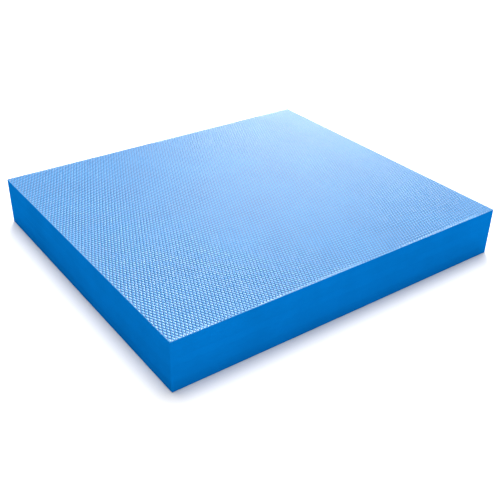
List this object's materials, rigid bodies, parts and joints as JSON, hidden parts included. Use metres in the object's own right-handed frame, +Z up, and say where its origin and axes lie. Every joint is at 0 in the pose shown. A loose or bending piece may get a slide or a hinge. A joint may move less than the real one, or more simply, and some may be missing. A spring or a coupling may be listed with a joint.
{
  "type": "balance pad",
  "caption": "Rectangular foam balance pad laminated from plies between two embossed non-slip skins; the tread sinks under load and springs back.",
  "frame": {"origin": "centre of the rectangular face that rests on the floor", "axes": "+X along the longer side, +Y along the shorter side, +Z up through the layers"},
  "size_m": [0.45, 0.4, 0.06],
  "materials": {
    "skin_foam": "satin",
    "core_foam": "matte"
  },
  "bodies": {
    "base": {"bottom_skin": "skin_foam", "core_ply_1": "core_foam", "core_ply_2": "core_foam", "core_ply_3": "core_foam"},
    "tread": {"core_ply_4": "core_foam", "core_ply_5": "core_foam", "core_ply_6": "core_foam", "top_skin": "skin_foam"}
  },
  "joints": [
    {"name": "foam_press", "type": "slide", "parent": "base", "child": "tread", "axis": [0, 0, 1], "range_m": [-0.024, 0], "stiffness_N_per_m": 30000, "deforming": ["core_ply_1", "core_ply_2", "core_ply_3", "core_ply_4", "core_ply_5", "core_ply_6"]}
  ]
}
